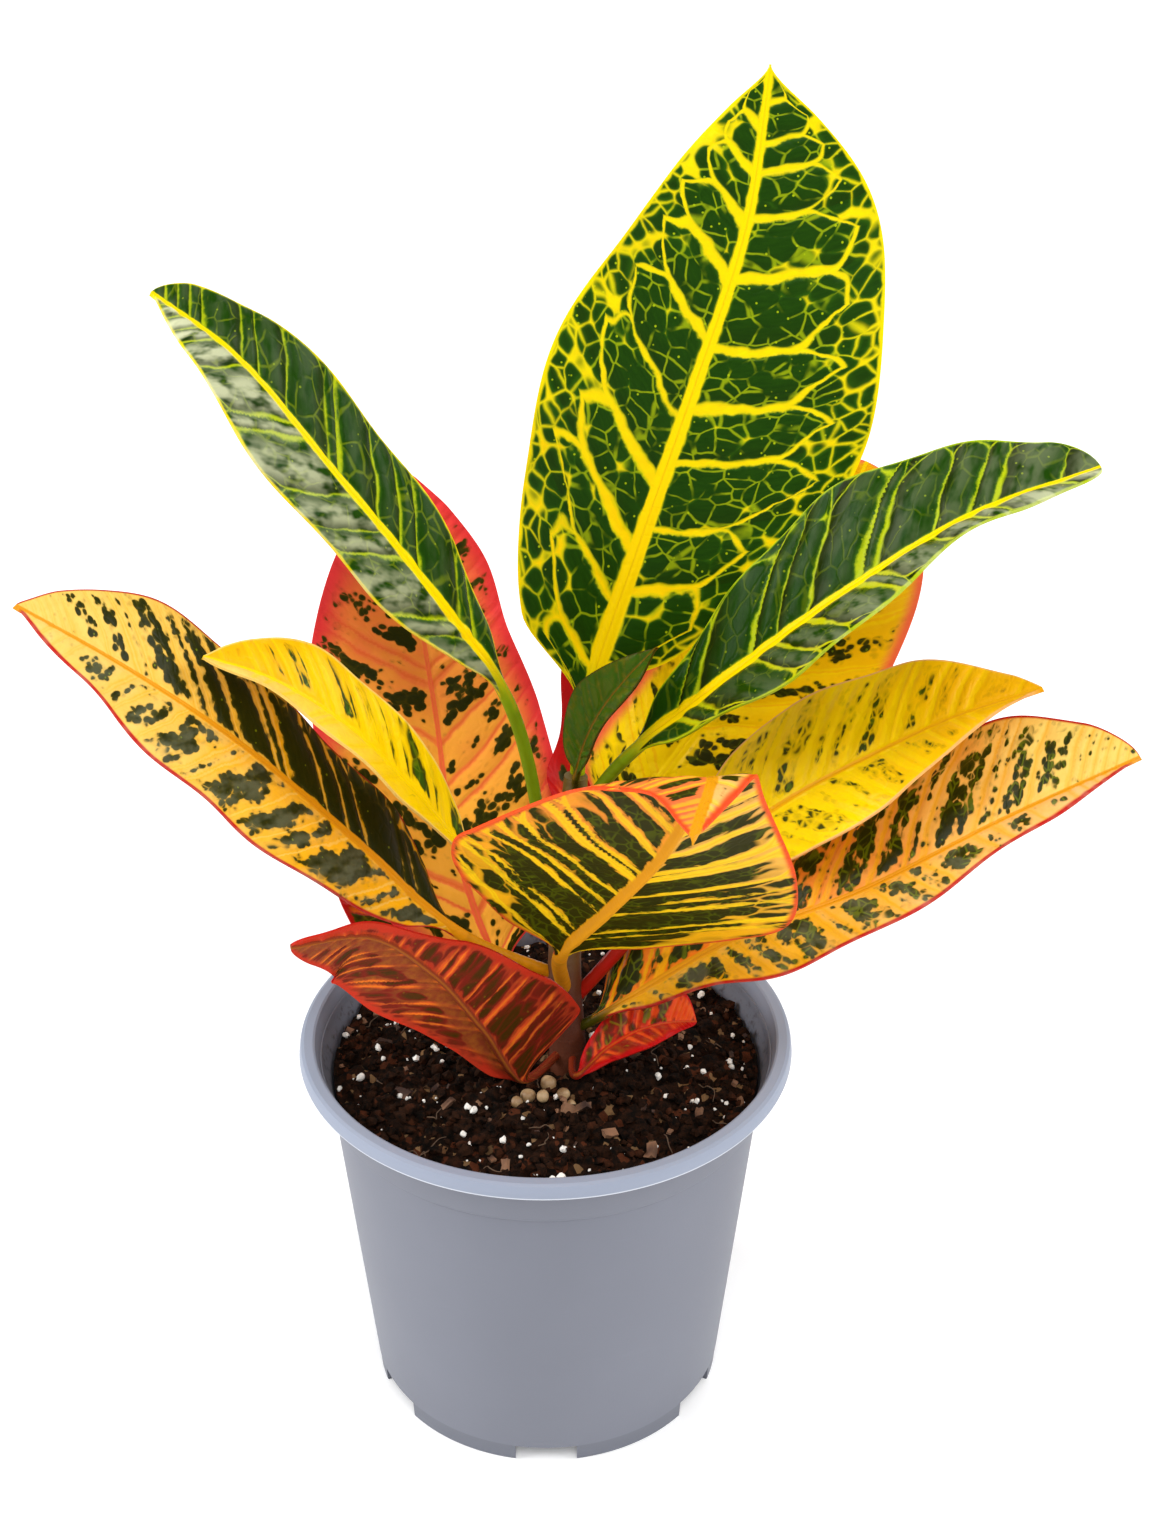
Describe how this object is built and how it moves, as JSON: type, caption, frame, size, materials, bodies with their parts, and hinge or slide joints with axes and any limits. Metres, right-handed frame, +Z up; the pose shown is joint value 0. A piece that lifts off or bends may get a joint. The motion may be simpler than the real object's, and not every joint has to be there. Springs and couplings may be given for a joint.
{
  "type": "potted croton plant",
  "caption": "Small potted foliage plant: broad, pointed, gently waved leaves on one short stem, rooted in potting mix in a tapered round nursery pot with a flat rolled lip.",
  "frame": {"origin": "centre of the pot's foot, on the surface that it stands on", "axes": "+Z up; the plant's front, from which it was pictured, faces -Y, and +X is to its right there"},
  "size_m": [0.2566, 0.2045, 0.3521],
  "materials": {
    "pot_plastic": "matte blue-grey moulded plastic",
    "potting_mix": "crumbly dark potting mix",
    "stem_bark": "smooth young green bark",
    "leaf_green": "glossy dark green leaf with yellow veins",
    "leaf_gold": "satin gold leaf with dark blotches",
    "leaf_yellow": "satin yellow leaf with green flecks",
    "leaf_red": "satin red and orange leaf with dark blotches"
  },
  "bodies": {
    "root": {"pot": "pot_plastic", "soil": "potting_mix", "stem": "stem_bark", "leaf_tall": "leaf_green", "leaf_upper_left": "leaf_green", "leaf_upper_right": "leaf_green", "leaf_low_left": "leaf_gold", "leaf_yellow_left": "leaf_yellow", "leaf_red_back_left": "leaf_red", "leaf_gold_back_right": "leaf_gold", "leaf_yellow_right": "leaf_yellow", "leaf_low_right": "leaf_gold", "leaf_front": "leaf_gold", "leaf_red_front_left": "leaf_red", "leaf_red_low_right": "leaf_red", "leaf_young": "leaf_green", "leaf_red_back": "leaf_red", "leaf_back_low": "leaf_gold"}
  },
  "joints": []
}
